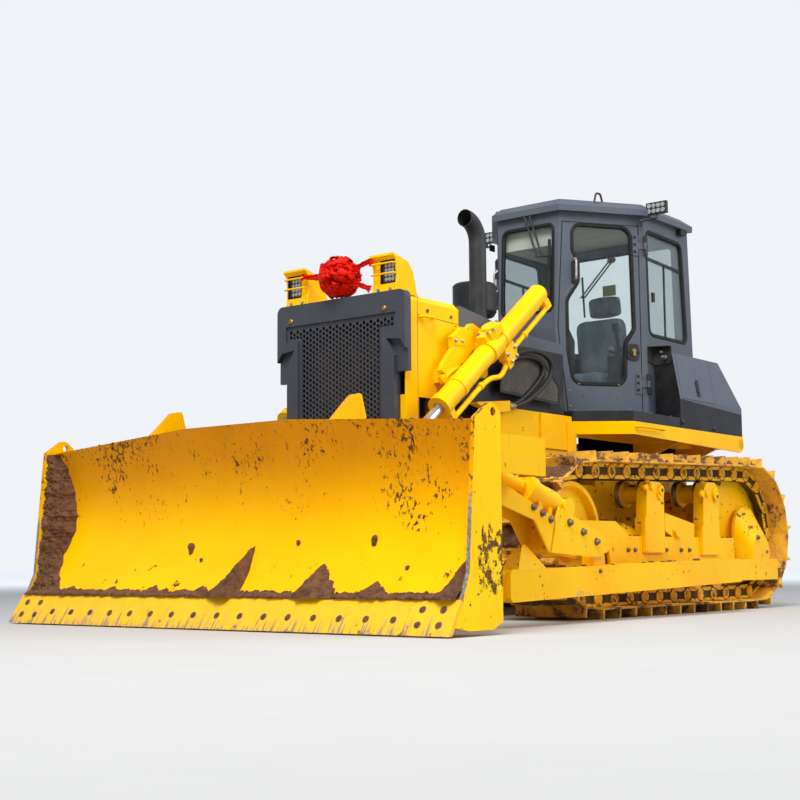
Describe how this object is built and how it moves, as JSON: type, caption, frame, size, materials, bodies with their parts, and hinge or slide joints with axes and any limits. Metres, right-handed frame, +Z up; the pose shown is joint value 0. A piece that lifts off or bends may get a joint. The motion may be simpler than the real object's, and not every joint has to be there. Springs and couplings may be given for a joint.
{
  "type": "track-type bulldozer",
  "caption": "Crawler bulldozer with a straight lifting blade on push arms, hydraulic lift cylinders, a six-sided cab with hinged doors and lidded rear boxes.",
  "frame": {"origin": "on the ground under the middle of the machine's length and width", "axes": "+X forward towards the blade, +Y to the machine's left, +Z up"},
  "size_m": [5.2, 3.388, 3.032],
  "materials": {
    "yellow_paint": "worn satin paint with mud and chips",
    "black_paint": "dusty satin paint",
    "worn_steel": "worn bright by earth",
    "cast_iron": "dirty casting",
    "undercarriage": "rusty and muddy",
    "rod_chrome": "polished rod",
    "cab_glass": "clear with a light tint",
    "seat_vinyl": "matt vinyl",
    "dark_plastic": "grained plastic",
    "lamp_lens": "clear lens over white lamps",
    "red_ribbon": "bright satin ribbon"
  },
  "bodies": {
    "machine": {"main_frame": "yellow_paint", "equaliser_bar": "cast_iron", "engine_block": "cast_iron", "radiator_guard": "black_paint", "grille": "black_paint", "hood": "yellow_paint", "rear_hood": "black_paint", "engine_side_covers": "black_paint", "side_skirts": "yellow_paint", "headlamps": "yellow_paint", "exhaust_pipe": "black_paint", "air_cleaner": "black_paint", "lift_yokes": "yellow_paint", "radiator_core": "cast_iron", "lamp_lenses": "lamp_lens", "ribbon_bow": "red_ribbon", "cab_shell": "black_paint", "cab_windows": "cab_glass", "door_hinges": "black_paint", "cab_roof": "black_paint", "operator_seat": "seat_vinyl", "console": "dark_plastic", "fenders": "yellow_paint", "cab_sills": "black_paint", "side_boxes": "black_paint", "rear_tank": "black_paint", "drawbar": "cast_iron", "tracks": "undercarriage", "track_chains": "undercarriage", "sprockets": "undercarriage", "idlers": "undercarriage", "bottom_rollers": "undercarriage", "carrier_rollers": "undercarriage", "track_frames": "yellow_paint", "final_drives": "yellow_paint"},
    "blade_group": {"blade": "yellow_paint", "cutting_edges": "worn_steel", "push_arms": "yellow_paint", "tilt_cylinder": "yellow_paint", "brace_link": "yellow_paint", "blade_brace": "yellow_paint"},
    "lift_barrel_left": {"lift_barrel_left": "yellow_paint"},
    "lift_barrel_right": {"lift_barrel_right": "yellow_paint"},
    "lift_rod_left": {"lift_rod_left": "rod_chrome"},
    "lift_rod_right": {"lift_rod_right": "rod_chrome"},
    "door_left": {"door_left": "black_paint", "door_glass_left": "cab_glass"},
    "door_right": {"door_right": "black_paint", "door_glass_right": "cab_glass"},
    "box_lid_left": {"box_lid_left": "black_paint"},
    "box_lid_right": {"box_lid_right": "black_paint"}
  },
  "joints": [
    {"name": "blade_lift", "type": "hinge", "parent": "machine", "child": "blade_group", "pos_m": [-1.185, 0, 0.288], "axis": [0, -1, 0], "range_deg": [-8.37, 16.5]},
    {"name": "lift_swing_left", "type": "hinge", "parent": "machine", "child": "lift_barrel_left", "pos_m": [0.683, 0.625, 1.705], "axis": [0, -1, 0], "range_deg": [-13.19, 25.81]},
    {"name": "lift_stroke_left", "type": "slide", "parent": "lift_barrel_left", "child": "lift_rod_left", "axis": [0.7921, 0, -0.6104], "range_m": [-0.606, 0.308]},
    {"name": "lift_swing_right", "type": "hinge", "parent": "machine", "child": "lift_barrel_right", "pos_m": [0.683, -0.625, 1.705], "axis": [0, -1, 0], "range_deg": [-13.19, 25.81]},
    {"name": "lift_stroke_right", "type": "slide", "parent": "lift_barrel_right", "child": "lift_rod_right", "axis": [0.7921, 0, -0.6104], "range_m": [-0.606, 0.308]},
    {"name": "door_swing_left", "type": "hinge", "parent": "machine", "child": "door_left", "pos_m": [-1.29205, 0.67653, 2.12], "axis": [0, 0, 1], "range_deg": [0, 120]},
    {"name": "lid_swing_left", "type": "hinge", "parent": "machine", "child": "box_lid_left", "pos_m": [-1.685, 0.684, 1.902], "axis": [1, 0, 0], "range_deg": [0, 80]},
    {"name": "door_swing_right", "type": "hinge", "parent": "machine", "child": "door_right", "pos_m": [-1.29205, -0.67653, 2.12], "axis": [0, 0, -1], "range_deg": [0, 120]},
    {"name": "lid_swing_right", "type": "hinge", "parent": "machine", "child": "box_lid_right", "pos_m": [-1.685, -0.684, 1.902], "axis": [-1, 0, 0], "range_deg": [0, 80]}
  ],
  "couplings": [
    {"joint": "lift_swing_left", "follows": "blade_lift", "ratio": 1.5524},
    {"joint": "lift_stroke_left", "follows": "blade_lift", "m_per_rad": -2.0966},
    {"joint": "lift_swing_right", "follows": "blade_lift", "ratio": 1.5524},
    {"joint": "lift_stroke_right", "follows": "blade_lift", "m_per_rad": -2.0966}
  ]
}
